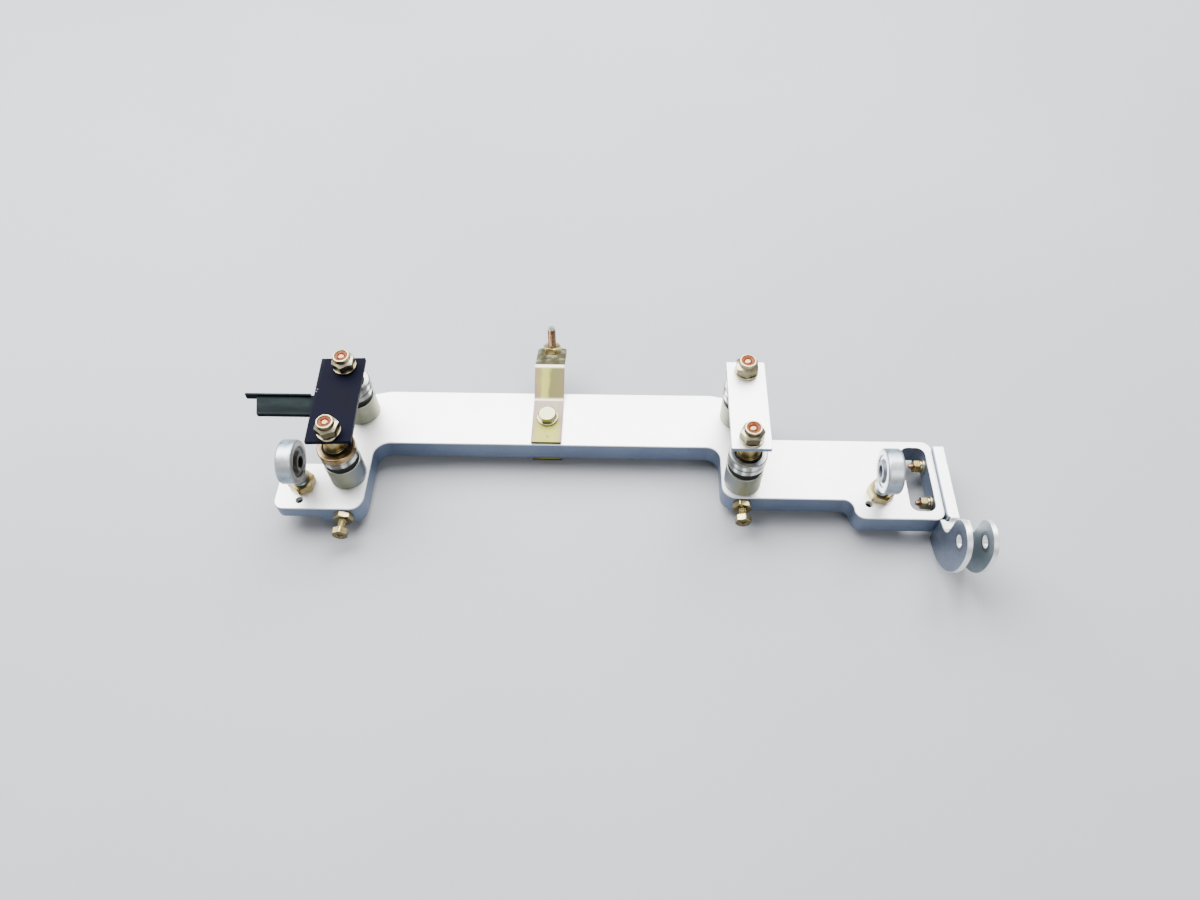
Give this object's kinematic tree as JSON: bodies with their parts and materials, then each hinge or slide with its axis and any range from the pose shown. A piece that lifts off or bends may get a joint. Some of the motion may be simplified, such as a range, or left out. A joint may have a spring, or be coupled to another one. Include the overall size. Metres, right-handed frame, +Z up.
{
  "type": "yoke bearing mount",
  "caption": "Machined plate with posts, guide rollers for a sliding yoke, rod ends, adjusting screws and a clevis.",
  "frame": {"origin": "centre of the yoke track, midway between the four rollers at their mid-height", "axes": "+X along the yoke track towards the clevis, +Y away from the adjusting screws, +Z up from the plate"},
  "size_m": [0.3809, 0.1496, 0.068],
  "materials": {
    "machined_aluminium": "satin machined",
    "standoff_grey": "matte anodised",
    "bearing_steel": "polished",
    "black_seal": "matte",
    "gold_plating": "cadmium plated",
    "black_paint": "semi gloss, scratched",
    "yellow_chromate": "iridescent chromate",
    "red_insert": "matte",
    "zinc_steel": "zinc plated",
    "dark_steel": "polished, oiled",
    "bare_aluminium": "bare machined"
  },
  "bodies": {
    "frame": {"mount_plate": "machined_aluminium", "bearing_balls": "bearing_steel", "bearing_cages": "gold_plating", "post_bolts": "gold_plating", "head_washers": "gold_plating", "top_washers": "gold_plating", "lock_nuts": "gold_plating", "nut_inserts": "red_insert", "roller_strap": "machined_aluminium", "arm_bracket": "black_paint", "z_bracket": "yellow_chromate", "stop_stud": "gold_plating", "stud_nut": "gold_plating", "bracket_bolt": "gold_plating", "bracket_washer": "gold_plating", "backing_plate": "yellow_chromate", "backing_nut": "gold_plating", "clevis": "bare_aluminium", "clevis_screws": "gold_plating", "clevis_washers": "gold_plating", "clevis_nuts": "gold_plating", "front_left_standoff": "standoff_grey", "front_left_dust_ring": "black_seal", "front_left_inner_ring": "bearing_steel", "front_left_spacer": "gold_plating", "front_right_standoff": "standoff_grey", "front_right_dust_ring": "black_seal", "front_right_inner_ring": "bearing_steel", "front_right_spacer": "gold_plating", "rear_left_standoff": "standoff_grey", "rear_left_dust_ring": "black_seal", "rear_left_inner_ring": "bearing_steel", "rear_left_spacer": "gold_plating", "rear_right_standoff": "standoff_grey", "rear_right_dust_ring": "black_seal", "rear_right_inner_ring": "bearing_steel", "rear_right_spacer": "gold_plating", "left_rod_end": "zinc_steel", "left_race": "dark_steel", "left_rod_nut": "gold_plating", "left_adjuster_nut": "gold_plating", "right_rod_end": "zinc_steel", "right_race": "dark_steel", "right_rod_nut": "gold_plating", "right_adjuster_nut": "gold_plating"},
    "front_left_roller_set": {"front_left_roller": "bearing_steel", "front_left_seals": "black_seal"},
    "front_right_roller_set": {"front_right_roller": "bearing_steel", "front_right_seals": "black_seal"},
    "rear_left_roller_set": {"rear_left_roller": "bearing_steel", "rear_left_seals": "black_seal"},
    "rear_right_roller_set": {"rear_right_roller": "bearing_steel", "rear_right_seals": "black_seal"},
    "left_ball": {"left_pivot_ball": "dark_steel"},
    "right_ball": {"right_pivot_ball": "dark_steel"},
    "left_adjuster": {"left_adjusting_screw": "gold_plating"},
    "right_adjuster": {"right_adjusting_screw": "gold_plating"}
  },
  "joints": [
    {"name": "front_left_roll", "type": "hinge", "parent": "frame", "child": "front_left_roller_set", "pos_m": [-0.1074, -0.02145, 0], "axis": [0, 0, 1], "continuous": true},
    {"name": "front_right_roll", "type": "hinge", "parent": "frame", "child": "front_right_roller_set", "pos_m": [0.1074, -0.02145, 0], "axis": [0, 0, 1], "continuous": true},
    {"name": "rear_left_roll", "type": "hinge", "parent": "frame", "child": "rear_left_roller_set", "pos_m": [-0.1074, 0.02145, 0], "axis": [0, 0, 1], "continuous": true},
    {"name": "rear_right_roll", "type": "hinge", "parent": "frame", "child": "rear_right_roller_set", "pos_m": [0.1074, 0.02145, 0], "axis": [0, 0, 1], "continuous": true},
    {"name": "left_pivot", "type": "hinge", "parent": "frame", "child": "left_ball", "pos_m": [-0.13105, -0.0286, -0.00125], "axis": [1, 0, 0], "continuous": true},
    {"name": "right_pivot", "type": "hinge", "parent": "frame", "child": "right_ball", "pos_m": [0.1803, -0.0286, -0.00125], "axis": [1, 0, 0], "continuous": true},
    {"name": "left_adjust", "type": "slide", "parent": "frame", "child": "left_adjuster", "axis": [0, -1, 0], "range_m": [0, 0.004]},
    {"name": "right_adjust", "type": "slide", "parent": "frame", "child": "right_adjuster", "axis": [0, -1, 0], "range_m": [0, 0.004]}
  ]
}
